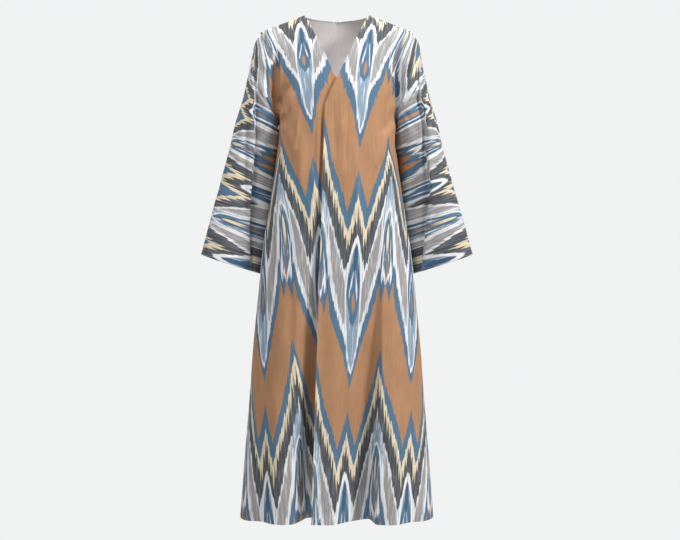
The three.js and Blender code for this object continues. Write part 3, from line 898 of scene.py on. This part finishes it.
# How far the noise shifts, in chart units: groups of threads and single strands along the warp, and lines
# across it.
THREAD_SHIFT, STRAND_SHIFT, LINE_WANDER = 9.0, 3.2, 3.0
FIRST_FEATHER, LENS_FEATHER, LENS_SIDE_FEATHER = 1.3, 2.0, 0.3
BUNDLES, BUNDLE_JITTER = 0.77, 2.2  # tied bundles to the chart unit, and how uneven they are
EDGE_SOFT, LENS_SOFT, LENS_POWER = 1.1, 0.9, 0.55
STRAY_FEATHER, STRAY_SPIKES = 1.0, 4.0
# Threads of another dye: the noise that picks them, the levels of it between which they show, how much, and
# the dye.
MIXED_IN = {"charcoal": ("pale", 0.47, 0.6, 0.4, "stray_dark"), "cream": ("pale", 0.5, 0.58, 0.34, "taupe")}
STRAYS = (("streak", 0.50, 0.60, 0.6, "stray_dark"), ("pale", 0.51, 0.60, 0.5, "stray_pale"))
ENDS, PICKS, REVERSE_RIBS = 3.6, 2.6, 3.2  # threads to the chart unit
WEAVE_BUMP, REVERSE_BUMP, GRAIN_BUMP = (0.00018, 0.7), (0.00012, 0.6), (0.0001, 0.1)  # metres, and strength
SPECULAR, SHEEN_ROUGHNESS = 0.22, 0.45
CLOTH_SHEEN, REVERSE_SHEEN = (0.06, (1.0, 0.97, 0.94, 1.0)), (0.08, (1.0, 1.0, 1.0, 1.0))
NO_SHEEN = (0.0, (1.0, 1.0, 1.0, 1.0))
CHART_LOW, CHART_HIGH = -60.0, 240.0  # the heights between which the chart's lines lie


class Wiring:
    """Adds nodes to a material's tree and links them."""

    def __init__(self, material):
        material.use_nodes = True
        self.nodes, self.links = material.node_tree.nodes, material.node_tree.links
        self.nodes.clear()

    def add(self, kind, **settings):
        node = self.nodes.new(kind)
        for key, value in settings.items():
            setattr(node, key, value)
        return node

    def feed(self, socket, value):
        if isinstance(value, bpy.types.NodeSocket):
            self.links.new(value, socket)
        else:
            socket.default_value = value

    def fed(self, kind, *values, **settings):
        """The output of a new node whose first inputs are fed in their order."""
        node = self.add(kind, **settings)
        for socket, value in zip(node.inputs, values):
            self.feed(socket, value)
        return node.outputs[0]

    def math(self, operation, *values):
        return self.fed("ShaderNodeMath", *values, operation=operation)

    def times(self, first, second):
        return self.math("MULTIPLY", first, second)

    def swing(self, noise, size):
        """Noise as a shift to both sides of nothing."""
        return self.times(self.math("SUBTRACT", noise, 0.5), size)

    def ramp(self, value, low, high):
        return self.fed("ShaderNodeMapRange", value, low, high, 0.0, 1.0, interpolation_type="SMOOTHSTEP")

    def line(self, value, low, high, first, last):
        return self.fed("ShaderNodeMapRange", value, low, high, first, last, interpolation_type="LINEAR")

    def spread(self, noise, least, most, reach=0.2):
        """Noise, whose values lie round a half, spread over a range."""
        return self.line(noise, 0.5 - reach, 0.5 + reach, least, most)

    def curve(self, value, points):
        """A chart line: height in the repeat by share across, as straight pieces."""
        node = self.add("ShaderNodeFloatCurve")
        line = node.mapping.curves[0]
        scaled = [(x, (y - CHART_LOW) / (CHART_HIGH - CHART_LOW)) for x, y in points]
        while len(line.points) < len(scaled):
            line.points.new(0.5, 0.5)
        for point, place in zip(line.points, scaled):
            point.location = place
            point.handle_type = "VECTOR"
        node.mapping.update()
        self.feed(node.inputs["Value"], value)
        return self.line(node.outputs[0], 0.0, 1.0, CHART_LOW, CHART_HIGH)

    def blend(self, share, first, second, mode="MIX"):
        node = self.add("ShaderNodeMix", data_type="RGBA", blend_type=mode)
        self.feed(node.inputs[0], share)
        self.feed(node.inputs[6], first)
        self.feed(node.inputs[7], second)
        return node.outputs[2]

    def join(self, x, y, z):
        return self.fed("ShaderNodeCombineXYZ", x, y, z)

    def shade(self, colour, tone):
        return self.blend(1.0, colour, self.join(tone, tone, tone), mode="MULTIPLY")

    def noise(self, vector, scale, detail, rough=0.5):
        node = self.add("ShaderNodeTexNoise", noise_dimensions="3D")
        self.feed(node.inputs["Vector"], vector)
        node.inputs["Scale"].default_value = scale
        node.inputs["Detail"].default_value = detail
        node.inputs["Roughness"].default_value = rough
        return node.outputs[0]

    def grain(self, u, v, name):
        """One kind of noise in the cloth, stretched along the warp."""
        across, along, lot, detail, rough = GRAIN[name]
        return self.noise(self.join(self.times(u, across), self.times(v, along), lot), 1.0, detail, rough)

    def cloth_axes(self):
        """The two cloth coordinates in chart units: across the warp and along it."""
        split = self.add("ShaderNodeSeparateXYZ")
        self.feed(split.inputs[0], self.fed("ShaderNodeUVMap", uv_map="Cloth"))
        return [self.times(axis, 1000 / UNIT) for axis in split.outputs[:2]]

    def weave(self, u, v, ends, picks):
        """Rounded threads of warp and weft, so many of each to the chart unit."""
        warp = self.math("SINE", self.times(u, 2 * math.pi * ends))
        return self.times(warp, self.math("SINE", self.times(v, 2 * math.pi * picks)))

    def surface(self, colour, roughness, height, bump, sheen):
        raised = self.add("ShaderNodeBump")
        raised.inputs["Distance"].default_value, raised.inputs["Strength"].default_value = bump
        self.feed(raised.inputs["Height"], height)
        shader = self.add("ShaderNodeBsdfPrincipled")
        self.feed(shader.inputs["Base Color"], colour)
        self.feed(shader.inputs["Roughness"], roughness)
        shader.inputs["Specular IOR Level"].default_value = SPECULAR
        shader.inputs["Sheen Roughness"].default_value = SHEEN_ROUGHNESS
        shader.inputs["Sheen Weight"].default_value, shader.inputs["Sheen Tint"].default_value = sheen
        self.feed(shader.inputs["Normal"], raised.outputs[0])
        output = self.add("ShaderNodeOutputMaterial")
        self.links.new(shader.outputs[0], output.inputs[0])


def printed_cloth():
    """Warp-dyed cloth: colour bands and lens shapes of one repeat, their edges feathered thread by thread."""
    material = bpy.data.materials.get("warp_dyed_cloth")
    if material:
        return material
    material = bpy.data.materials.new("warp_dyed_cloth")
    w = Wiring(material)
    settings = bpy.context.scene.duster_coat
    dye = {name: tuple(getattr(settings, name)) for name in DYES}
    u, v = w.cloth_axes()
    grain = {name: w.grain(u, v, name) for name in GRAIN if name != "reverse"}
    thread, strand, streak = grain["thread"], grain["strand"], grain["streak"]

    # each group of threads is shifted along the warp by its own amount, and each strand a little more
    groups = w.swing(thread, THREAD_SHIFT * settings.feather)
    teeth = w.math("ADD", groups, w.swing(strand, STRAND_SHIFT * settings.feather))
    across = w.math("ADD", u, w.swing(grain["wander"], LINE_WANDER))
    from_a = w.math("ABSOLUTE", w.math("SUBTRACT", w.math("FLOORED_MODULO", across, 2 * COLUMN), COLUMN))
    from_b = w.math("SUBTRACT", COLUMN, from_a)
    share = w.math("DIVIDE", from_a, COLUMN)
    first = w.curve(share, FIRST_EDGE)
    height = w.math("ADD", v, w.times(teeth, FIRST_FEATHER))
    place = w.math("FLOORED_MODULO", w.math("SUBTRACT", height, first), REPEAT)

    # bundles of threads tied together leave spikes of an even width
    bundle = w.math("PINGPONG", w.math("ADD", w.times(u, BUNDLES), w.times(thread, BUNDLE_JITTER)), 1.0)

    def past_edge(feather, spikes, points):
        edge = w.math("SUBTRACT", w.curve(share, points), first)
        edge = w.math("SUBTRACT", edge, w.times(teeth, feather))
        edge = w.math("ADD", edge, w.swing(bundle, spikes * settings.feather))
        return w.ramp(w.math("SUBTRACT", place, edge), -EDGE_SOFT, EDGE_SOFT)

    def other_threads(kind, low, high, most):
        return w.times(w.ramp(grain[kind], low, high), most)

    for name, (kind, low, high, most, other) in MIXED_IN.items():
        dye[name] = w.blend(other_threads(kind, low, high, most), dye[name], dye[other])
    colour = dye["blue"]
    for name, feather, spikes, points in EDGES[:-1]:
        if name == "blue":
            # threads of the neighbouring dyes show in the pale bands, some darker and some paler
            among = past_edge(STRAY_FEATHER, STRAY_SPIKES, STRAYS_FROM)
            for kind, low, high, most, other in STRAYS:
                colour = w.blend(w.times(other_threads(kind, low, high, most), among), colour, dye[other])
        colour = w.blend(past_edge(feather, spikes, points), colour, dye[name])
    level = w.math("FLOORED_MODULO", w.math("ADD", v, w.times(teeth, LENS_FEATHER)), REPEAT)
    for line, off_first, off_last, low, high, wide, name, cover in LENSES:
        along = w.line(level, float(low), float(high), 0.0, 1.0)
        swell = w.times(w.times(along, w.math("SUBTRACT", 1.0, along)), 4.0)
        reach = w.times(w.math("POWER", swell, LENS_POWER), wide)
        off = w.line(level, float(low), float(high), off_first, off_last)
        off_line = w.math("ABSOLUTE", w.math("SUBTRACT", from_a if line == "A" else from_b, off))
        off_line = w.math("ADD", off_line, w.times(teeth, LENS_SIDE_FEATHER))
        shows = w.ramp(w.math("SUBTRACT", reach, off_line), 0.0, LENS_SOFT)
        if cover < 1:
            least_streak, full_streak = 0.62 - 0.3 * cover, 0.66 - 0.2 * cover
            shows = w.times(shows, w.ramp(streak, least_streak, full_streak))
        colour = w.blend(shows, colour, dye[name])

    # the camel field lies over the ends of the lens shapes
    name, feather, spikes, points = EDGES[-1]
    colour = w.blend(past_edge(feather, spikes, points), colour, dye[name])

    # uneven dye, strand by strand
    tone = w.times(w.spread(streak, 0.90, 1.08), w.spread(grain["cloud"], 0.94, 1.05))
    colour = w.shade(colour, w.times(tone, w.spread(strand, 0.95, 1.05)))
    weave = w.math("ADD", w.times(w.weave(u, v, ENDS, PICKS), 0.5), w.times(strand, 1.2))
    w.surface(colour, w.spread(streak, 0.62, 0.78), weave, WEAVE_BUMP, CLOTH_SHEEN)
    return material


def plain_reverse():
    """The plain inside: an even weave in one soft colour, with faint ribs."""
    material = bpy.data.materials.get("plain_reverse")
    if material:
        return material
    material = bpy.data.materials.new("plain_reverse")
    w = Wiring(material)
    u, v = w.cloth_axes()
    streak = w.grain(u, v, "reverse")
    colour = w.shade(tuple(bpy.context.scene.duster_coat.inside), w.spread(streak, 0.93, 1.05, reach=0.25))
    ribs = w.weave(u, v, REVERSE_RIBS, REVERSE_RIBS)
    w.surface(colour, w.spread(streak, 0.7, 0.82), ribs, REVERSE_BUMP, REVERSE_SHEEN)
    return material


def plain_material(name, colour, roughness):
    """A stage finish: one soft colour with very faint unevenness."""
    material = bpy.data.materials.new(name)
    w = Wiring(material)
    grain = w.noise(w.add("ShaderNodeTexCoord").outputs["Object"], 6.0, 2.0)
    w.surface(w.shade(colour, w.spread(grain, 0.99, 1.01)), roughness, grain, GRAIN_BUMP, NO_SHEEN)
    return material


# ---- what a user can change ----

DYES = {
    "camel": ((0.415, 0.220, 0.114), "the broad plain fields"),
    "blue": ((0.085, 0.165, 0.255), "the chevrons and eyes"),
    "dark_blue": ((0.05, 0.105, 0.18), "the leaf shapes"),
    "light_blue": ((0.23, 0.32, 0.41), "the pale fill of the tall motif"),
    "cream": ((0.76, 0.65, 0.45), "the thin band inside the blue one"),
    "charcoal": ((0.068, 0.071, 0.076), "the dark band"),
    "white": ((0.79, 0.785, 0.79), "the broad pale bands"),
    "taupe": ((0.31, 0.29, 0.28), "the grey band inside the white one"),
    "brown": ((0.32, 0.18, 0.09), "the stem of the tall motif"),
    "stray_dark": ((0.24, 0.28, 0.33), "the darker stray threads"),
    "stray_pale": ((0.62, 0.62, 0.64), "the paler stray threads"),
    "inside": ((0.90, 0.85, 0.84), "the plain reverse of the cloth"),
}


def colour_choice(name):
    value, use = DYES[name]
    return bpy.props.FloatVectorProperty(
        name=name.replace("_", " ").capitalize(),
        description=f"Colour of {use}",
        subtype="COLOR",
        size=4,
        min=0.0,
        max=1.0,
        default=(*value, 1.0),
    )


class CoatSettings(bpy.types.PropertyGroup):
    cloth_thickness: bpy.props.FloatProperty(
        name="Cloth thickness",
        description="Thickness of the cloth",
        default=0.0011,
        min=0.0004,
        max=0.0016,
        unit="LENGTH",
    )
    feather: bpy.props.FloatProperty(
        name="Feather",
        description="How far the dyed edges bleed along the warp",
        default=1.0,
        min=0.0,
        max=2.0,
        subtype="FACTOR",
    )


CoatSettings.__annotations__.update({name: colour_choice(name) for name in DYES})


# ---- stage, in metres ----

FLOOR_Z, FLOOR_RADIUS, FLOOR_SIDES = -1.75, 1.4, 96
PALE, WHITE_GROUND = (0.85, 0.85, 0.85, 1.0), (0.88, 0.885, 0.89, 1.0)
GROUND_LIGHT = 0.46  # how strongly the ground lights the coat; the camera sees it at full strength
# Soft round lights: name, place, aim, width and power.
LIGHTS = (
    ("key", (2.7, -1.9, 1.5), (0, 0, -0.45), 1.0, 129),
    ("fill", (-2.2, -3.0, 0.8), (0, 0, -0.5), 2.2, 8),
    ("neck", (-0.5, -1.0, 1.5), (0.02, 0.12, -0.06), 0.5, 32),
    ("rim", (0.6, 2.6, 1.2), (0, 0, -0.5), 1.8, 30),
)
CAMERA_PLACE = (0.0086, -3.2, -0.686)
SENSOR_WIDTH, FOCAL_LENGTH = 36, 62.75  # the camera's own millimetres


def stage_floor(scene):
    turn = np.linspace(0, 2 * math.pi, FLOOR_SIDES + 1)[:-1]
    ring = np.stack([np.cos(turn), np.sin(turn)], -1) * FLOOR_RADIUS
    mesh = bpy.data.meshes.new("floor")
    mesh.from_pydata(np.column_stack([ring, np.full(FLOOR_SIDES, FLOOR_Z)]), [], [list(range(FLOOR_SIDES))])
    floor = bpy.data.objects.new("floor", mesh)
    mesh.materials.append(plain_material("pale_floor", PALE, 0.7))
    scene.collection.objects.link(floor)


def soft_light(scene, name, place, aim, size, power):
    lamp = bpy.data.lights.new(name, "AREA")
    lamp.shape, lamp.size, lamp.energy = "DISK", size, power
    holder = bpy.data.objects.new(name, lamp)
    scene.collection.objects.link(holder)
    holder.location = place
    away = np.array(place, float) - np.array(aim, float)
    flat = math.hypot(away[0], away[1])
    holder.rotation_euler = (math.atan2(flat, away[2]), 0, math.atan2(away[0], -away[1]))


def pale_ground(scene):
    """A pale world that lights the coat less than the camera sees of it."""
    world = bpy.data.worlds.new("studio")
    scene.world = world
    world.use_nodes = True
    nodes, links = world.node_tree.nodes, world.node_tree.links
    ground = nodes["Background"]
    ground.inputs["Color"].default_value = WHITE_GROUND
    path = nodes.new("ShaderNodeLightPath")
    strength = nodes.new("ShaderNodeMapRange")
    strength.inputs["To Min"].default_value = GROUND_LIGHT
    strength.inputs["To Max"].default_value = 1.0
    links.new(path.outputs["Is Camera Ray"], strength.inputs["Value"])
    links.new(strength.outputs[0], ground.inputs["Strength"])
    scene.view_settings.view_transform = "Standard"


def front_camera(scene):
    lens = bpy.data.cameras.new("camera")
    lens.sensor_width, lens.lens = SENSOR_WIDTH, FOCAL_LENGTH
    camera = bpy.data.objects.new("camera", lens)
    scene.collection.objects.link(camera)
    camera.location = CAMERA_PLACE
    camera.rotation_euler = (math.pi / 2, 0, 0)
    scene.camera = camera


# ---- operators ----


class COAT_OT_fronts(bpy.types.Operator):
    """Makes the two wrapped fronts"""

    bl_idname = "coat.fronts"
    bl_label = "Fronts"

    def execute(self, context):
        over = front_panel("over_front", "front_left", "over")
        under = front_panel("under_front", "front_right", "under")
        return {"FINISHED"}


class COAT_OT_back(bpy.types.Operator):
    """Makes the back"""

    bl_idname = "coat.back"
    bl_label = "Back"

    def execute(self, context):
        back_panel("back_panel", "back")
        return {"FINISHED"}


class COAT_OT_sleeves(bpy.types.Operator):
    """Makes the two wide sleeves"""

    bl_idname = "coat.sleeves"
    bl_label = "Sleeves"

    def execute(self, context):
        for name, node, sign, creases, fold, seed in (
            ("left_sleeve", "sleeve_left", 1, LEFT_SLEEVE_CREASES, LEFT_SLEEVE_RUN, 31),
            ("right_sleeve", "sleeve_right", -1, RIGHT_SLEEVE_CREASES, RIGHT_SLEEVE_RUN, 37),
        ):
            piece = sleeve(name, node, sign, creases, fold, seed)
        return {"FINISHED"}


class COAT_OT_stage(bpy.types.Operator):
    """Makes the floor, the soft lights and the camera"""

    bl_idname = "coat.stage"
    bl_label = "Stage"

    def execute(self, context):
        stage_floor(context.scene)
        for numbers in LIGHTS:
            soft_light(context.scene, *numbers)
        pale_ground(context.scene)
        front_camera(context.scene)
        return {"FINISHED"}


class COAT_PT_sidebar(bpy.types.Panel):
    """Lists the coat's pieces and settings"""

    bl_idname = "COAT_PT_sidebar"
    bl_label = "Duster Coat"
    bl_space_type = "VIEW_3D"
    bl_region_type = "UI"
    bl_category = "Duster Coat"

    def draw(self, context):
        column = self.layout.column(align=True)
        for operator in PIECES:
            column.operator(operator.bl_idname)
        settings = context.scene.duster_coat
        for name in ("cloth_thickness", "feather", *DYES):
            self.layout.prop(settings, name)


PIECES = (COAT_OT_fronts, COAT_OT_back, COAT_OT_sleeves, COAT_OT_stage)
CLASSES = (CoatSettings, *PIECES, COAT_PT_sidebar)


def register():
    for kind in CLASSES:
        bpy.utils.register_class(kind)
    bpy.types.Scene.duster_coat = bpy.props.PointerProperty(type=CoatSettings)


def unregister():
    del bpy.types.Scene.duster_coat
    for kind in reversed(CLASSES):
        bpy.utils.unregister_class(kind)


def main():
    register()
    bpy.ops.coat.fronts()
    bpy.ops.coat.back()
    bpy.ops.coat.sleeves()
    bpy.ops.coat.stage()
    bpy.context.view_layer.update()


if __name__ == "__main__":
    main()
